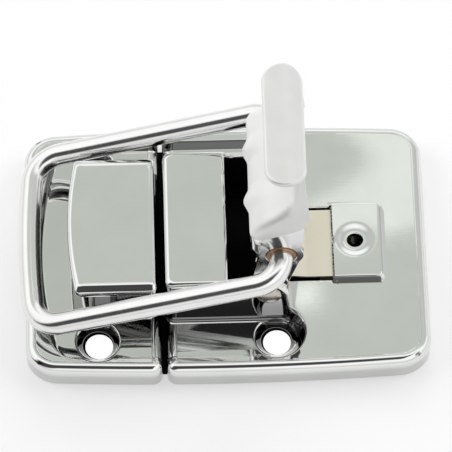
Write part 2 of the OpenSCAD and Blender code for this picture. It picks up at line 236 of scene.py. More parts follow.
def fill(outer, holes, discs, step, walls=None):
    """Fine triangles inside a loop, with holes: 2-D points and faces.
    Discs get points on circles and walls get points along their lines, not on the grid."""
    lo, hi = outer.min(0), outer.max(0)
    gx, gy = np.meshgrid(np.arange(lo[0] + step / 2, hi[0], step), np.arange(lo[1] + step / 2, hi[1], step))
    pts = np.stack([gx.ravel(), gy.ravel()], 1)
    if walls:
        across, rows = walls
        r = across(pts[:, 0], pts[:, 1])
        pts = np.concatenate([pts[(r < TROUGH_R0 - step) | (r > TROUGH_R1 + step)]] + rows)
    for cx, cy, r0, r1 in discs:
        pts = pts[np.hypot(pts[:, 0] - cx, pts[:, 1] - cy) > r1 + step / 2]
    rounds = [circle(cx, cy, r) for cx, cy, r0, r1 in discs for r in np.arange(r0 + 0.1, r1, 0.13)]
    pts = np.concatenate([pts] + rounds)
    keep = inside(pts, outer)
    for h in holes:
        keep &= ~inside(pts, h)
    pts = pts[keep]
    loops = [outer] + holes
    edges, n = [], 0
    for h in loops:
        edges += [(n + i, n + (i + 1) % len(h)) for i in range(len(h))]
        n += len(h)
    every = np.concatenate(loops + [pts])
    v, _, f, *_ = geometry.delaunay_2d_cdt([Vector(p) for p in every], edges, [], 0, 1e-5)
    v = np.array([tuple(p) for p in v])
    f = np.array([t for t in f if len(t) == 3])
    c = v[f].mean(1)
    keep = inside(c, outer)
    for h in holes:
        keep &= ~inside(c, h)
    f = f[keep]
    a, b, c = v[f[:, 0]], v[f[:, 1]], v[f[:, 2]]
    flip = (b[:, 0] - a[:, 0]) * (c[:, 1] - a[:, 1]) - (b[:, 1] - a[:, 1]) * (c[:, 0] - a[:, 0]) < 0
    f[flip] = f[flip][:, ::-1]
    return v, f


def circle(cx, cy, r, n=120):
    return arc(cx, cy, r, 0, 360 * (n - 1) / n, n - 1)


def rolled(r, n):
    """Quarter round edge: inset and drop of each ring, from the side to the top."""
    return [(r * (1 - math.cos(a)), r * (math.sin(a) - 1)) for a in (math.pi / 2 * i / n for i in range(n + 1))]


def plate(shells, x0, x1, ra, rb, height, holes, discs, walls):
    """Pressed plate: skirt and rolled edge as rings, the inner field as fine triangles on its height."""
    mx, my = int((x1 - x0) / 0.3), int(2 * HALF_D / 0.25)
    skirt = [(0, -EDGE_R, share) for share in SKIRT_STEPS]
    roll = [(inset, dz, 1) for inset, dz in rolled(EDGE_R, 14) + [(EDGE_R + EDGE_FLAT, 0)]]
    rings = []
    for inset, dz, share in skirt + roll:
        p = bowed(outline(x0 + inset, x1 - inset, HALF_D - inset,
                          max(ra - inset, MIN_R), max(rb - inset, MIN_R), 16, mx, my))
        rings.append(np.column_stack([p, share * (height(p[:, 0], p[:, 1]) + dz)]))
    shells.loft(rings)
    v, f = fill(rings[-1][:, :2], holes, discs, GRID, walls)
    shells.add(np.column_stack([v, height(v[:, 0], v[:, 1])]), f)


def screw_discs(cx):
    return [(cx, k * SCREW_Y, SCREW_R, SEAT_R) for k in (1, -1)]


def press_dimple(z, x, y, cx):
    """Conical seat of the two screws at cx, pressed into the height z."""
    r = np.hypot(x - cx, np.abs(y) - SCREW_Y)
    cone = SHEET + (r - SCREW_R) * (TROUGH_Z - SHEET) / (SINK_R - SCREW_R)
    return np.where(r < SEAT_REACH, soft_min(z, cone, SEAT_BLEND), z)


def trough_wall(r):
    return (PLATE_H - TROUGH_Z) * (1 - smooth((r - TROUGH_R0) / (TROUGH_R1 - TROUGH_R0)))


WALL_STEPS = np.linspace(TROUGH_R0 - 0.06, TROUGH_R1 + 0.06, 9)


def keeper_across(x, y):
    """Distance from the dish's flat floor; its outer end is bowed."""
    side = np.minimum(np.abs(y), SCREW_Y)
    return np.hypot(np.maximum(DISH_X + DISH_BOW * side ** 2 - x, 0), np.maximum(np.abs(y) - SCREW_Y, 0))


def keeper_rows():
    rows = []
    cx = DISH_X + DISH_BOW * SCREW_Y ** 2
    side = np.arange(-SCREW_Y, SCREW_Y, 0.2)
    run = np.arange(cx, 0, 0.2)
    for c in WALL_STEPS:
        rows.append(np.stack([DISH_X - c + DISH_BOW * side ** 2, side], 1))
        for k in (1, -1):
            rows.append(np.stack([run, np.full(len(run), k * (SCREW_Y + c))], 1))
            rows.append(arc(cx, k * SCREW_Y, c, 180, 180 - 90 * k, 36))
    return rows


def latch_across(x, y):
    """Distance from the trough's middle line; the strip below hood and ears is level with its floor."""
    r = np.hypot(np.maximum(x - LATCH_SCREW_X, 0), np.abs(y) - SCREW_Y)
    return np.where((x < PIVOT[0] + EAR_R) & (np.abs(y) < SCREW_Y), np.minimum(r, TROUGH_R0), r)


def latch_rows():
    run = np.arange(0, LATCH_SCREW_X, 0.2)
    return [np.stack([run, np.full(len(run), k * (SCREW_Y + c))], 1) for c in WALL_STEPS for k in (1, -1)]


def keeper_height(x, y):
    return press_dimple(PLATE_H - trough_wall(keeper_across(x, y)), x, y, KEEPER_SCREW_X)


def latch_height(x, y):
    z = PLATE_H - trough_wall(latch_across(x, y))
    out_x = np.maximum(x - BRIDGE_X1 + BRIDGE_R, 0)
    out_y = np.maximum(np.abs(y) - BRIDGE_HALF + BRIDGE_R, 0)
    pad = smooth(1 - (np.hypot(out_x, out_y) - BRIDGE_R) / BRIDGE_SIDE)
    z = z + BRIDGE_RISE * pad * smooth((x - WINDOW_X1) / BRIDGE_LIP + 0.5)
    z = z - DIMPLE_H * smooth((DIMPLE_R - np.hypot(x - BRIDGE_SCREW_X, y)) / DIMPLE_SIDE)
    return press_dimple(z, x, y, LATCH_SCREW_X)


# Keeper plate with its hook
def hook_ring(x0, x1, h, r, z):
    p = outline(x0, x1, h, r, r, 10, 24, 60)
    x = p[:, 0] - HOOK_BOW * (1 - (p[:, 1] / h) ** 2) * (x1 - p[:, 0]) / (x1 - x0)
    return np.column_stack([x, p[:, 1], np.full(len(p), z)])


def keeper_shells():
    s = Shells()
    bx, bh = HOOK_X0 + HOOK_WALL, HOOK_HALF - HOOK_SIDE
    hole = hook_ring(bx + 1, HOOK_X1 - 1.2, bh - 1, 1, 0)[:, :2]
    screws = [circle(KEEPER_SCREW_X, k * SCREW_Y, SCREW_R) for k in (1, -1)]
    plate(s, KEEPER_X0, -HALF_GAP, CORNER_R, SPLIT_R, keeper_height, [hole] + screws,
          screw_discs(KEEPER_SCREW_X), (keeper_across, keeper_rows()))
    # Foot and wall
    rings = [hook_ring(bx - HOOK_FOOT_R, HOOK_X1, bh + HOOK_FOOT_R, 1 + HOOK_FOOT_R, TROUGH_Z - 0.5)]
    for i in range(7):
        a = math.pi / 12 * i
        out = HOOK_FOOT_R * (1 - math.sin(a))
        rings.append(hook_ring(bx - out, HOOK_X1, bh + out, 1 + out, TROUGH_Z + HOOK_FOOT_R * (1 - math.cos(a))))
    z0 = HOOK_H - HOOK_LIP
    rings += [hook_ring(bx, HOOK_X1, bh, 1, z) for z in (6, z0 - 0.3)]
    # Lip: its underside, its lower round and its bevelled top
    for i in range(1, 5):
        a = math.pi / 8 * i
        out = 0.3 * (1 - math.cos(a))
        rings.append(hook_ring(bx - out, HOOK_X1, bh + out, 1, z0 - 0.3 + 0.3 * math.sin(a)))
    for i in range(6):
        a = math.pi / 10 * i
        inset = 0.4 * (1 - math.sin(a))
        z = z0 + CROWN + 0.37 * (1 - math.cos(a))
        rings.append(hook_ring(HOOK_X0 + inset, HOOK_X1, HOOK_HALF - inset, HOOK_CORNER, z))
    crown = [(HOOK_EDGE + 0.1, 0.01), (1.6, 0.025)] + [(inset, CROWN) for inset in (2.4, 3.2, 3.8)]
    for inset, dz in rolled(HOOK_EDGE, 16) + crown:
        ends = np.interp(dz, *zip(*HOOK_BEVEL)) + max(inset - HOOK_EDGE, 0)
        rings.append(hook_ring(HOOK_X0 + inset, HOOK_X1 - min(inset, HOOK_EDGE + inset * 0.05),
                               HOOK_HALF - ends, max(HOOK_CORNER - inset / 3, 0.3), HOOK_H - CROWN + dz))
    s.loft(rings, top=True)
    return s


# Latch plate with hood, ears and bridge
def open_ring(x0, x1, h, r, z):
    p = np.concatenate([line((x1, h), (x0 + r, h), 30), arc(x0 + r, h - r, r, 90, 180, 10),
                        line((x0, h - r), (x0, r - h), 60), arc(x0 + r, r - h, r, 180, 270, 10),
                        line((x0 + r, -h), (x1, -h), 30)])
    p[0] = (x1, h)
    p[-1] = (x1, -h)
    return np.column_stack([p, np.full(len(p), z)])


def profile_plate(outer, holes, y, thickness, bevel):
    """Flat plate in the X-Z plane with round holes and broken edges: vertices and faces in mm."""
    c = bpy.data.curves.new("profile", "CURVE")
    c.dimensions = "2D"
    c.fill_mode = "BOTH"
    c.extrude = thickness / 2 - bevel
    c.bevel_depth = bevel
    c.bevel_resolution = 3
    c.offset = -bevel
    for loop in [outer] + holes:
        sp = c.splines.new("POLY")
        sp.points.add(len(loop) - 1)
        for q, p in zip(sp.points, loop):
            q.co = (p[0], p[1], 0, 1)
        sp.use_cyclic_u = True
    o = bpy.data.objects.new("profile", c)
    scene.collection.objects.link(o)
    m = bpy.data.meshes.new_from_object(o.evaluated_get(bpy.context.evaluated_depsgraph_get()))
    v = [(p.co.x, y - p.co.z, p.co.y) for p in m.vertices]
    f = [tuple(p.vertices) for p in m.polygons]
    bpy.data.objects.remove(o)
    bpy.data.curves.remove(c)
    bpy.data.meshes.remove(m)
    return v, f


def latch_shells():
    s = Shells()
    e = HOOD_HALF - EAR_T / 2
    px, pz = PIVOT
    half = [(1.5, -e), (px + EAR_R, -e), (px + EAR_R, -WINDOW_HALF), (WINDOW_X1, -WINDOW_HALF)]
    corners = np.array(half + [(x, -y) for x, y in reversed(half)])
    sides = zip(corners, np.roll(corners, -1, 0))
    window = np.concatenate([np.linspace(a, b, 40, endpoint=False) for a, b in sides])
    screws = [circle(LATCH_SCREW_X, k * SCREW_Y, SCREW_R) for k in (1, -1)]
    small = circle(BRIDGE_SCREW_X, 0, BRIDGE_SCREW_R, 48)
    discs = screw_discs(LATCH_SCREW_X) + [(BRIDGE_SCREW_X, 0, BRIDGE_SCREW_R, 3.5)]
    plate(s, HALF_GAP, LATCH_X1, SPLIT_R, CORNER_R, latch_height, [window, small] + screws,
          discs, (latch_across, latch_rows()))
    # Foot of hood and ears, their walls up to the ears' round tops, and the hood's edge and top
    rings = [open_ring(HOOD_X0, px + EAR_R, HOOD_HALF + HOOD_FOOT_R, HOOD_CORNER, TROUGH_Z - 0.9)]
    for i in range(7):
        a = math.pi / 12 * i
        out = HOOD_FOOT_R * (1 - math.sin(a))
        z = TROUGH_Z + HOOD_FOOT_R * (1 - math.cos(a))
        rings.append(open_ring(HOOD_X0, px + EAR_R, HOOD_HALF + out, HOOD_CORNER, z))
    wall = HOOD_H - CROWN - HOOD_EDGE
    top_angle = math.asin((wall - 0.02 - pz) / EAR_R)
    for z in np.concatenate([[6, 8, pz], pz + EAR_R * np.sin(np.linspace(0.06, top_angle, 20))]):
        end = px + math.sqrt(EAR_R ** 2 - max(z - pz, 0) ** 2)
        rings.append(open_ring(HOOD_X0, end, HOOD_HALF, HOOD_CORNER, z))
    rings.append(open_ring(HOOD_X0, HOOD_X1, HOOD_HALF, HOOD_CORNER, wall - 0.01))
    crown = [(HOOD_EDGE + 0.1, 0.01), (1.9, 0.025)] + [(inset, CROWN) for inset in (2.8, 3.6, 4.2)]
    for inset, dz in rolled(HOOD_EDGE, 12) + crown:
        corner = max(HOOD_CORNER - inset / 3, 0.5)
        rings.append(open_ring(HOOD_X0 + inset, HOOD_X1, HOOD_HALF - inset, corner, HOOD_H - CROWN + dz))
    s.loft(rings, closed=False, top=True)
    return s


# Lever
def table(t, rows):
    """Smooth lookup: linear between rows, rounded at the corners."""
    xs, ys = zip(*rows)
    return sum(np.interp(t + d, xs, ys) * w for d, w in ((-0.06, 1), (-0.03, 2), (0, 3), (0.03, 2), (0.06, 1))) / 9


def head_point(z):
    """Left, right, half width and rib share of the head at each height."""
    t = (z - HEAD_Z0) / (HEAD_Z1 - HEAD_Z0)
    left = HEAD_X0 + table(t, ((0, 0), (0.06, 0.1), (0.16, 0.9), (0.27, 2.4), (0.36, 4.4), (0.46, 6.3),
                                 (0.56, 7), (1, 7.2)))
    right = HEAD_X1 - table(t, ((0, 0), (0.35, 0), (0.6, 0.4), (1, 0.9)))
    wide = HEAD_HALF - table(t, ((0, 0), (0.2, 0.1), (0.3, 0.5), (0.45, 1.4), (0.7, 2), (1, 2.4)))
    rib = table(t, ((0, 1), (0.15, 0.9), (0.3, 0.2), (0.36, 0)))
    turn = (right - left) * table(t, ((0, 0.17), (0.1, 0.18), (0.27, 0.32), (0.4, 0.5), (1, 0.45)))
    return left, right, wide, rib, turn


def rim_z(x):
    """Lower rim of the head: it climbs to the right and ends in a rounded corner."""
    climb = np.interp(x, (HEAD_X0 - 2, HEAD_X0 + 2.6, HEAD_X1 + 2), (HEAD_Z0 + 0.2, HEAD_Z0 + 0.4, HEAD_Z0 + 4.6))
    t = np.clip((x - HEAD_X1) / RIM_CORNER + 1, 0, 0.97)
    return climb + RIM_CORNER * (1 - np.sqrt(1 - t * t))


def head_ring(z_of, n_side=40, n_arc=14, n_face=130):
    """Open ring of the head from the rear right end round the left side to the front right end."""
    u = np.concatenate([np.linspace(0, 1, n_side, endpoint=False), np.linspace(1, 2, n_arc, endpoint=False),
                        np.linspace(2, 3, n_face, endpoint=False), np.linspace(3, 4, n_arc, endpoint=False),
                        np.linspace(4, 5, n_side + 1)])

    def place(z):
        left, right, wide, rib, r = head_point(z)
        x, y = np.empty(len(u)), np.empty(len(u))
        for lo, hi in ((0, 1), (1, 2), (2, 3), (3, 4), (4, 5.1)):
            k = (u >= lo) & (u < hi)
            t, L, R, W, q = u[k] - lo, left[k], right[k], wide[k], r[k]
            if lo == 0:
                x[k], y[k] = R + (L + q - R) * t, W
            elif lo == 1:
                x[k], y[k] = L + q - q * np.sin(t * math.pi / 2), W - q + q * np.cos(t * math.pi / 2)
            elif lo == 2:
                x[k], y[k] = L, (W - q) * (1 - 2 * t)
            elif lo == 3:
                x[k], y[k] = L + q - q * np.cos(t * math.pi / 2), q - W - q * np.sin(t * math.pi / 2)
            else:
                x[k], y[k] = L + q + (R - L - q) * t, -W
        bump = np.cos(np.clip((np.abs(np.abs(y) - RIB_Y)) / RIB_HALF, 0, 1) * math.pi / 2) ** 2
        x = x - RIB_H * rib * bump * (u > 1.5) * (u < 3.5)
        return x, y

    x, y = place(np.full(len(u), HEAD_Z0))
    z = z_of(x)
    for _ in range(6):
        x, y = place(z)
        z = z_of(x)
    return np.column_stack([x, y, z])


def head_shells():
    s = Shells()
    ts = np.concatenate([np.linspace(0, 0.6, 64), np.linspace(0.6, 1, 16)[1:]])
    rings = []
    for t in ts:
        rings.append(head_ring(lambda x, t=t: rim_z(x) + (HEAD_Z1 - rim_z(x)) * t))
    rim = []
    for a in np.linspace(0, math.pi / 2, 6)[:-1]:
        ring = rings[0].copy()
        ring[:, 1] -= np.sign(ring[:, 1]) * RIM_R * (1 - math.sin(a)) * smooth(np.abs(ring[:, 1]) / 2)
        ring[:, 0] += RIM_R * (1 - math.sin(a)) * smooth((HEAD_X0 + 3 - ring[:, 0]) / 3)
        ring[:, 2] -= RIM_R * math.cos(a)
        rim.append(ring)
    s.loft(rim + rings, closed=False, top=True)
    return s


def lip_shells():
    """Finger lip: a long rounded tongue, its far edge turned down."""
    s = Shells()
    x0, x1, x2 = LIP_X
    r = (x2 - x0) / 2
    cx = (x0 + x2) / 2

    def ring(inset):
        q = r - inset
        a, b = LIP_Y[0] + r, LIP_Y[1] - r
        return np.concatenate([arc(cx, b, q, 0, 180, 40), line((cx - q, b), (cx - q, a), 40),
                               arc(cx, a, q, 180, 360, 40), line((cx + q, a), (cx + q, b), 40)])

    def drop(x):
        d, k = x - x1, LIP_BLEND
        turned = LIP_SLOPE * np.where(d > -k, np.where(d < k, (d + k) ** 2 / (4 * k), d), 0)
        return turned + LIP_CROWN * np.minimum(d, 0) ** 2

    rings = []
    e = LIP_EDGE
    for i in range(7):
        a = math.pi / 12 * i
        p = ring(e * (1 - math.sin(a)))
        rings.append(np.column_stack([p, LEVER_TOP - SHEET + e * (1 - math.cos(a)) - drop(p[:, 0])]))
    for inset, dz in rolled(e, 8):
        p = ring(inset)
        rings.append(np.column_stack([p, LEVER_TOP + dz - drop(p[:, 0])]))
    s.loft(rings, bottom=True)
    v, f = fill(ring(e), [], [], 0.25)
    s.add(np.column_stack([v, LEVER_TOP - drop(v[:, 0])]), f)
    return s


def lug_shells():
    s = Shells()
    px, pz = PIVOT
    bx, bz = BAIL_AXIS
    r = BUSH_R + LUG_RIM
    x0 = FACE_X + 1.2
    outer = np.concatenate([
        arc(px, pz, HEEL_R, 180, 360, 40), [(px + HEEL_R, pz + 1)],
        arc(bx, bz, r, -35, 25, 16), [(HEAD_X1 - 0.6, HEAD_Z0 + 3), (HEAD_X1 - 0.6, HEAD_Z0 + 4.2),
                                      (x0 + 1, HEAD_Z0 + 2), (x0, HEAD_Z0 + 0.8), (x0, bz - 0.6),
                                      (px - HEEL_R, pz + 1.5)]])
    holes = [circle(px, pz, PIN_R + 0.05), circle(bx, bz, BUSH_R + 0.05)]
    for k in (1, -1):
        s.add(*profile_plate(outer, holes, k * (LUG_HALF - LUG_T / 2), LUG_T, 0.15))
    return s


def face_shells():
    """The outer face with its two bends, and the heel tab that curls under the pin."""
    s = Shells()
    q = 1.2
    bend = np.concatenate([arc(FACE_X + q, LUG_HALF - q, q, 90, 180, 12),
                           line((FACE_X, LUG_HALF - q), (FACE_X, q - LUG_HALF), 40),
                           arc(FACE_X + q, q - LUG_HALF, q, 180, 270, 12)])
    levels = (BAIL_AXIS[1] - 0.6, 22, 24, HEAD_Z0 + 0.8)
    s.loft([np.column_stack([bend, np.full(len(bend), z)]) for z in levels], closed=False)
    px, pz = PIVOT
    tab = [(FACE_X, BAIL_AXIS[1])] + [tuple(p) for p in arc(px, pz - TAB_DROP, px - FACE_X, 180, 270, 24)]
    s.loft([[(x, y, z) for y in (HEEL_HALF, -HEEL_HALF)] for x, z in reversed(tab)], closed=False)
    return s


def pin_shells():
    """Pivot pin, riveted over to a low dome at both ends."""
    s = Shells()
    head = [(PIN_R + 0.45) * math.cos(a) for a in np.linspace(0.15, math.pi / 2, 9)]
    rise = [0.75 * math.sin(a) + 0.05 for a in np.linspace(0.15, math.pi / 2, 9)]
    half = [(HOOD_HALF + h, max(r, 0.02)) for r, h in zip(head, rise)] + [(HOOD_HALF, PIN_R + 0.4), (HOOD_HALF, PIN_R)]
    half = sorted(half[:9], key=lambda q: -q[0]) + half[9:]
    steps = half + [(-y, r) for y, r in reversed(half)]
    a = np.linspace(0, 2 * math.pi, 48, endpoint=False)
    s.loft([np.stack([PIVOT[0] + r * np.cos(a), np.full(48, y), PIVOT[1] + r * np.sin(a)], 1) for y, r in steps],
           top=True, bottom=True)
    return s


def bail_shells():
    s = Shells()
    turn = math.asin((ARM_Y - BAIL_CORNER_R) / (BAIL_END_R - BAIL_CORNER_R))
    end_x = BAIL_END_R - BAIL_LEN
    corner_x = end_x - (BAIL_END_R - BAIL_CORNER_R) * math.cos(turn)
    deg = math.degrees(turn)
    half = np.concatenate([[(0, STUB_Y), (0, STUB_Y + 0.01)], line((0, STUB_Y), (0, ARM_Y - ELBOW_R), 4),
                           arc(-ELBOW_R, ARM_Y - ELBOW_R, ELBOW_R, 0, 90, 40),
                           line((-ELBOW_R, ARM_Y), (corner_x, ARM_Y), 60),
                           arc(corner_x, ARM_Y - BAIL_CORNER_R, BAIL_CORNER_R, 90, 180 - deg, 40),
                           arc(end_x, 0, BAIL_END_R, 180 - deg, 180, 40)[1:]])
    path = np.concatenate([half, (half * (1, -1))[::-1][1:]])
    t = np.gradient(path, axis=0)
    t /= np.linalg.norm(t, axis=1)[:, None]
    a = np.linspace(0, 2 * math.pi, 48, endpoint=False)
    c, k = math.cos(BAIL_SLOPE), math.sin(BAIL_SLOPE)
    rings = []
    for (x, y), (tx, ty) in zip(path, t):
        wx, wy, wz = x + WIRE_R * np.cos(a) * ty, y - WIRE_R * np.cos(a) * tx, WIRE_R * np.sin(a)
        rings.append(np.stack([BAIL_AXIS[0] + wx * c - wz * k, wy, BAIL_AXIS[1] + wx * k + wz * c], 1))
    s.loft(rings, top=True, bottom=True)
    return s


# Materials
def node(tree, kind, **values):
    n = tree.nodes.new(kind)
    for key, v in values.items():
        if key in n.inputs:
            n.inputs[key].default_value = v
        else:
            setattr(n, key, v)
    return n


def ramp(tree, stops):
    n = tree.nodes.new("ShaderNodeValToRGB")
    n.color_ramp.elements[0].position, n.color_ramp.elements[0].color = stops[0][0], (*stops[0][1], 1)
    n.color_ramp.elements[1].position, n.color_ramp.elements[1].color = stops[-1][0], (*stops[-1][1], 1)
    for p, c in stops[1:-1]:
        n.color_ramp.elements.new(p).color = (*c, 1)
    return n


def metal(name, dark, light, rough, wave=0.35, grain=0.12, stretch=(1, 14, 14), scale=90, paint_shade=False, bare=1.0):
    """Plated or bare metal: tone and roughness vary, with slow waves and fine drawn grain in the surface.
    Optionally, the mesh's shade attribute scales the base colour down: painted shade deep in the recesses."""
    m = bpy.data.materials.new(name)
    m.use_nodes = True
    t = m.node_tree
    b = t.nodes["Principled BSDF"]
    b.inputs["Metallic"].default_value = bare
    co = node(t, "ShaderNodeTexCoord").outputs["Object"]
    slow = node(t, "ShaderNodeTexNoise", Scale=scale, Detail=4.0, Roughness=0.55)
    t.links.new(co, slow.inputs["Vector"])
    tone = ramp(t, [(0.3, dark), (0.7, light)])
    t.links.new(slow.outputs["Fac"], tone.inputs["Fac"])
    color = tone.outputs["Color"]
    if paint_shade:
        # painted shade: the base colour is scaled by the mesh's shade attribute
        painted_shade = node(t, "ShaderNodeVectorMath", operation="SCALE")
        t.links.new(color, painted_shade.inputs["Vector"])
        t.links.new(node(t, "ShaderNodeAttribute", attribute_name="shade").outputs["Fac"], painted_shade.inputs["Scale"])
        color = painted_shade.outputs["Vector"]
    t.links.new(color, b.inputs["Base Color"])
    blot = node(t, "ShaderNodeTexNoise", Scale=scale * 3.3, Detail=4.0, Roughness=0.6)
    t.links.new(co, blot.inputs["Vector"])
    span = node(t, "ShaderNodeMapRange")
    span.inputs["From Min"].default_value, span.inputs["From Max"].default_value = 0.3, 0.75
    span.inputs["To Min"].default_value, span.inputs["To Max"].default_value = rough
    t.links.new(blot.outputs["Fac"], span.inputs["Value"])
    t.links.new(span.outputs["Result"], b.inputs["Roughness"])
    place = node(t, "ShaderNodeMapping", Scale=stretch)
    t.links.new(co, place.inputs["Vector"])
    fine = node(t, "ShaderNodeTexNoise", Scale=420.0, Detail=5.0, Roughness=0.65)
    t.links.new(place.outputs["Vector"], fine.inputs["Vector"])
    wide = node(t, "ShaderNodeTexNoise", Scale=scale * 0.9, Detail=1.0, Roughness=0.4)
    t.links.new(co, wide.inputs["Vector"])
    waves = node(t, "ShaderNodeBump", Strength=wave, Distance=0.0002)
    t.links.new(wide.outputs["Fac"], waves.inputs["Height"])
    lines = node(t, "ShaderNodeBump", Strength=grain, Distance=0.000004)
    t.links.new(fine.outputs["Fac"], lines.inputs["Height"])
    t.links.new(waves.outputs["Normal"], lines.inputs["Normal"])
    t.links.new(lines.outputs["Normal"], b.inputs["Normal"])
    return m


plate_mat = metal("plate_chrome", (0.76, 0.775, 0.755), (0.82, 0.83, 0.815), (0.02, 0.05), wave=0.05, paint_shade=True)
# Inner faces of the sheets: near-black painted shade for the cavities under the plates
inner_shade_mat = metal("inner_painted_shade", (0.03, 0.03, 0.035), (0.07, 0.07, 0.075), (0.35, 0.5))
lever_mat = metal("lever_satin", (0.8, 0.8, 0.785), (0.88, 0.88, 0.865), (0.28, 0.36),
                  wave=0.5, grain=0.15, stretch=(14, 1, 14), bare=0.6)
head_mat = metal("lever_pearl", (0.88, 0.88, 0.865), (0.95, 0.95, 0.935), (0.38, 0.46),
                 wave=0.5, grain=0.15, stretch=(14, 1, 14), bare=0.5)
lug_mat = metal("lever_chrome", (0.78, 0.78, 0.78), (0.84, 0.84, 0.84), (0.07, 0.13), wave=0.5)
wire_mat = metal("wire_chrome", (0.8, 0.8, 0.79), (0.86, 0.86, 0.85), (0.15, 0.21), wave=0.25)
pin_mat = metal("pin_steel", (0.5, 0.45, 0.4), (0.66, 0.62, 0.57), (0.22, 0.38), grain=0.5, scale=400)
spring_mat = metal("spring_bronze", (0.93, 0.87, 0.72), (0.98, 0.93, 0.81), (0.3, 0.42), grain=0.5, stretch=(14, 1, 14))
bush_mat = metal("bush_bronze", (0.36, 0.22, 0.13), (0.55, 0.37, 0.24), (0.25, 0.4), grain=0.5, scale=400)


# Painted shade: share of the plating's colour that is left in each recess, standing in for the shade and dark
# reflections there
SHADE_SKIRT, SHADE_FLOOR, SHADE_WALL, SHADE_SLOPE = 0.78, 0.9, 0.2, 0.16
SHADE_HOOD, SHADE_HOOK, SHADE_SEAT, SHADE_SPLIT = 0.3, 0.14, 0.12, 0.08
SEAT_SHADE_RING = 0.75


def painted_recess_shade(x, y, z):
    """Painted shade: the plating's colour is darkened in the split, on the walls of troughs, hook and hood, on the
    trough floors, in a ring round each screw hole, on the bridge's front slope, and a little on the turned-down edge.
    """
    slope = (x > WINDOW_X1) & (x < BRIDGE_X1) & (y < -BRIDGE_HALF - 0.05) & (y > -BRIDGE_HALF - BRIDGE_SIDE - 0.05)
    front = (y < 0) | (x < DISH_X)
    y = np.abs(y)
    v = np.where(z < PLATE_H - EDGE_R, SHADE_SKIRT, np.where(slope, SHADE_SLOPE, 1.0))
    field = (z < PLATE_H - 0.2) & (y < HALF_D - 2.1) & (x > KEEPER_X0 + 2) & (x < LATCH_X1 - 2)
    v = np.where(field, SHADE_FLOOR, v)
    r = np.where(x < 0, keeper_across(x, y), latch_across(x, y))
    v = np.where(field & front & (r > TROUGH_R0), SHADE_WALL, v)
    above = z > TROUGH_Z + 0.05
    hood = above & (x > HOOD_X0 - 0.1) & (x < PIVOT[0] + EAR_R + 0.1) & (y < HOOD_HALF + 0.8)
    v = np.where(hood, SHADE_HOOD + (1 - SHADE_HOOD) * smooth((z - 7) / 5), v)
    hook = above & (z < HOOK_H - HOOK_LIP - 0.1) & (x > HOOK_X0 - 1.3) & (x < HOOK_X1 + 0.1) & (y < HOOK_HALF + 0.1)
    v = np.where(hook, SHADE_HOOK, v)
    for cx in (KEEPER_SCREW_X, LATCH_SCREW_X):
        v = np.where(np.hypot(x - cx, y - SCREW_Y) < SCREW_R + SEAT_SHADE_RING, SHADE_SEAT, v)
    split = (np.abs(x) < 1.05) & (y < HOOD_HALF + 2.6) & (z < HOOK_H - 1.2)
    return np.where(split, SHADE_SPLIT, v)


def dress(o, body, slot, *nodes):
    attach(o, body)
    if nodes:
        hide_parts(*nodes)


# The plates' inner faces are near-black painted shade, and their recesses carry painted shade through the shade
# attribute.
plated = {"thickness": SHEET, "inside": inner_shade_mat, "shade": painted_recess_shade}
dress(keeper_shells().build("keeper_sheet", plate_mat, **plated), "base", "plate_chrome", "keeper_plate")
dress(latch_shells().build("latch_sheet", plate_mat, **plated), "base", "plate_chrome", "latch_plate")
dress(head_shells().build("lever_head", head_mat, thickness=SHEET), "lever", "lever_chrome", "lever")
dress(lip_shells().build("lever_lip", lever_mat), "lever", "lever_chrome")
dress(lug_shells().build("lever_lugs", lug_mat), "lever", "lever_chrome")
dress(face_shells().build("lever_face", lug_mat, thickness=LUG_T), "lever", "lever_chrome")
dress(bail_shells().build("bail_wire", wire_mat), "bail", "wire_chrome", "bail")
dress(pin_shells().build("rivet_pin", pin_mat), "base", "pin_steel", "pivot_pin")
for name, mat in (("leaf_spring", spring_mat), ("bail_bush_front", bush_mat), ("bail_bush_rear", bush_mat)):
    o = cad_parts[name]
    o.data.materials.clear()
    o.data.materials.append(mat)
    b = o.modifiers.new("edges", "BEVEL")
    b.width = 0.08 * MM
    b.segments = 2
    b.limit_method = "ANGLE"


# Camera
AZ, EL, DIST, LENS = math.radians(-1.6), math.radians(60), 0.74, 358.4
target = Vector((-7.5, 6.35, 0)) * MM
back = Vector((math.sin(AZ) * math.cos(EL), -math.cos(AZ) * math.cos(EL), math.sin(EL)))
cam = bpy.data.objects.new("camera", bpy.data.cameras.new("camera"))
scene.collection.objects.link(cam)
cam.data.lens = LENS
cam.data.clip_start, cam.data.clip_end = 0.01, 10
cam.location = target + back * DIST
cam.rotation_mode = "QUATERNION"
cam.rotation_quaternion = (-back).to_track_quat("-Z", "Y")
scene.camera = cam


# Studio: a white tent that only the metal sees, open and dark on the camera's side; lamps and world light the rest.
scene.view_settings.view_transform = "Standard"
world = bpy.data.worlds.new("world")
scene.world = world
world.use_nodes = True
wt = world.node_tree
sky = wt.nodes["Background"]
sky.inputs["Color"].default_value = (1, 1, 1, 1)


def seen_by_eye(t, low, high):
    """High for rays from the camera, a mirror or glass, low for rays that only light things."""
    rays = node(t, "ShaderNodeLightPath")
    most = rays.outputs["Is Camera Ray"]
    for other in ("Is Glossy Ray", "Is Transmission Ray"):
        pick = node(t, "ShaderNodeMath", operation="MAXIMUM")
        t.links.new(most, pick.inputs[0])
        t.links.new(rays.outputs[other], pick.inputs[1])
        most = pick.outputs["Value"]
    level = node(t, "ShaderNodeMapRange")
    level.inputs["To Min"].default_value, level.inputs["To Max"].default_value = low, high
    t.links.new(most, level.inputs["Value"])
    return level.outputs["Result"]


wt.links.new(seen_by_eye(wt, 0.3, 1.0), sky.inputs["Strength"])


def step(x, a, b):
    return smooth((x - a) / (b - a))


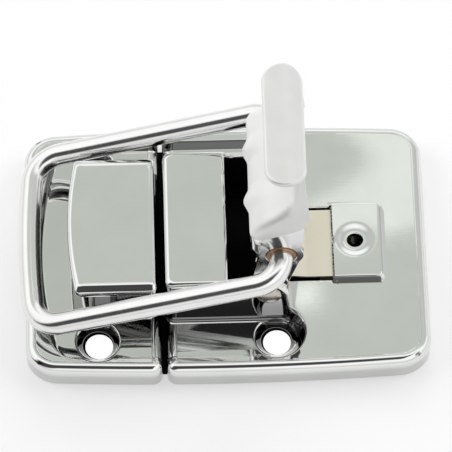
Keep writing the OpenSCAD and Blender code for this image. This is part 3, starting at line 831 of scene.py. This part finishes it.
def tent_tone(p, q):
    """Brightness of the tent: p degrees to the right, q degrees from the rear floor over the top to the front floor."""
    foot = 138 + 0.45 * np.abs(p)
    lean = p + 0.8 * (q - 112)
    dark = step(q, 94, 106) * (1 - step(q, foot - 7, foot + 7)) * step(lean, -60, -42) * (1 - step(lean, 16, 28))
    rear = step(p, -30, -16) * (1 - step(p, 20, 30)) * step(q, 38, 50) * (1 - step(q, 70, 86))
    side = step(p, 18, 26) * (1 - step(p, 46, 56)) * step(q, 20, 34) * (1 - step(q, 76, 92))
    low = 1 - step(np.degrees(np.arcsin(np.cos(np.radians(p)) * np.sin(np.radians(q)))), 4, 34)
    return (1.18 - 0.55 * np.maximum(rear, side) - 0.4 * low * (1 - side)) * (1 - 0.945 * dark)


def glow_tone(p, q):
    """Rear panel as the flat tops see it: grey, with a pale field that has a dark tongue in it, and one pale patch."""
    ragged = 0.07 * np.sin(np.radians(q * 4000)) + 0.05 * np.sin(np.radians(q * 7500 + 115))
    tongue = np.interp(q, (58.2, 58.4, 58.8, 59.2, 59.57, 59.8), (2.7, 3.03, 3.36, 2.85, 2.3, 1.9))
    field = step(p - tongue + ragged, -0.12, 0.12) * (1 - step(q + 0.2 * (p - 3.4) + ragged, 60.1, 60.3))
    patch = step(p, 1.3, 1.5) * (1 - step(p + ragged, 2.2, 2.36)) * step(q, 61.0, 61.1) * (1 - step(q, 61.52, 61.62))
    edge = step(p, -14, -9) * (1 - step(p, 9, 14)) * step(q, 49, 53) * (1 - step(q, 67, 71))
    return (0.65 + 0.33 * field + 0.4 * patch) * edge + (1 - edge) * 0.64


def panel(name, ps, qs, tone, radius, tint):
    """Part of a dome round the object with its own brightness at each point."""
    q, p = np.meshgrid(np.radians(qs), np.radians(ps), indexing="ij")
    co = radius * np.stack([np.sin(p), np.cos(p) * np.cos(q), np.cos(p) * np.sin(q)], -1).reshape(-1, 3)
    n = len(ps)
    f = [(k, k + 1, k + n + 1, k + n) for k in (j * n + i for j in range(len(qs) - 1) for i in range(n - 1))]
    m = bpy.data.meshes.new(name)
    m.from_pydata(co.tolist(), [], f)
    m.polygons.foreach_set("use_smooth", [True] * len(m.polygons))
    m.attributes.new("tone", "FLOAT", "POINT").data.foreach_set("value", tone(np.degrees(p), np.degrees(q)).ravel())
    mat = bpy.data.materials.new(name)
    mat.use_nodes = True
    t = mat.node_tree
    t.nodes.clear()
    level = node(t, "ShaderNodeAttribute", attribute_name="tone")
    glow = node(t, "ShaderNodeEmission", Color=(*tint, 1))
    t.links.new(level.outputs["Fac"], glow.inputs["Strength"])
    t.links.new(glow.outputs["Emission"], t.nodes.new("ShaderNodeOutputMaterial").inputs["Surface"])
    m.materials.append(mat)
    o = bpy.data.objects.new(name, m)
    scene.collection.objects.link(o)
    o.visible_camera = o.visible_diffuse = o.visible_shadow = False


panel("tent", np.linspace(-89, 89, 120), np.linspace(0, 180, 140), tent_tone, 1.5, (1, 1, 1))
rear_p = np.concatenate([np.linspace(-14, 1, 40), np.linspace(1.04, 5, 100), np.linspace(5.5, 14, 20)])
rear_q = np.concatenate([np.linspace(49, 58, 30), np.linspace(58.02, 62, 200), np.linspace(62.5, 71, 30)])
panel("tent_rear", rear_p, rear_q, glow_tone, 1.48, (0.96, 1, 0.94))


def lamp(name, place, watts):
    d = bpy.data.lights.new(name, "AREA")
    d.shape = "DISK"
    d.size = 0.7
    d.energy = watts
    o = bpy.data.objects.new(name, d)
    scene.collection.objects.link(o)
    o.location = place
    o.rotation_mode = "QUATERNION"
    o.rotation_quaternion = Vector(place).to_track_quat("Z", "Y")
    o.visible_glossy = False


LAMP_WATTS = 3.4
lamp("lamp_left", (-0.7, 0.2, 0.55), LAMP_WATTS)
lamp("lamp_right", (0.7, 0.25, 0.55), LAMP_WATTS)
lamp("lamp_rear", (0.1, 0.8, 0.6), LAMP_WATTS)


def sheet_of(name, verts, faces, color, glow):
    """Flat stage sheet of one matt colour that also shows a little light of its own to the eye."""
    m = bpy.data.meshes.new(name)
    m.from_pydata(verts, [], faces)
    mat = bpy.data.materials.new(name)
    mat.use_nodes = True
    t = mat.node_tree
    b = t.nodes["Principled BSDF"]
    b.inputs["Base Color"].default_value = (*color, 1)
    b.inputs["Roughness"].default_value = 0.9
    b.inputs["Specular IOR Level"].default_value = 0
    b.inputs["Emission Color"].default_value = (1, 1, 1, 1)
    t.links.new(seen_by_eye(t, 0, glow), b.inputs["Emission Strength"])
    m.materials.append(mat)
    o = bpy.data.objects.new(name, m)
    scene.collection.objects.link(o)


FLOOR_Z = -0.0004
FLOOR_HALF = 3
corners = [(x * FLOOR_HALF, y * FLOOR_HALF, FLOOR_Z) for x, y in ((-1, -1), (1, -1), (1, 1), (-1, 1))]
sheet_of("floor", corners, [(0, 1, 2, 3)], (0.5, 0.5, 0.5), 0.53)
# A near-black card under the plates is a painted shadow for the shade beneath them, with holes below the screws.
PILOT_R = 2.25
PILOT_SHIFT = (0.15, 0.4)
CARD_INSET = 2


def flat(points, z):
    return [((x - ORIGIN_X) * MM, y * MM, z) for x, y in points]


bores = [circle(x + PILOT_SHIFT[0], k * SCREW_Y + PILOT_SHIFT[1], PILOT_R, 48)
         for x in (KEEPER_SCREW_X, LATCH_SCREW_X) for k in (1, -1)]
rim = outline(KEEPER_X0 + CARD_INSET, LATCH_X1 - CARD_INSET, HALF_D - CARD_INSET, 4, 4, 8, 20, 20)
v, f = fill(bowed(rim), bores, [], 3)
sheet_of("shade_card", flat(v, FLOOR_Z / 2), f.tolist(), (0.012, 0.012, 0.012), 0)

# Painted light: pale discs below the holes that glow to the eye, brighter than the shaded floor there.
for i, hole in enumerate(bores):
    sheet_of(f"hole_light_{i + 1}", flat(hole, FLOOR_Z / 3), [tuple(range(len(hole)))], (0.6, 0.6, 0.6), 0.9)
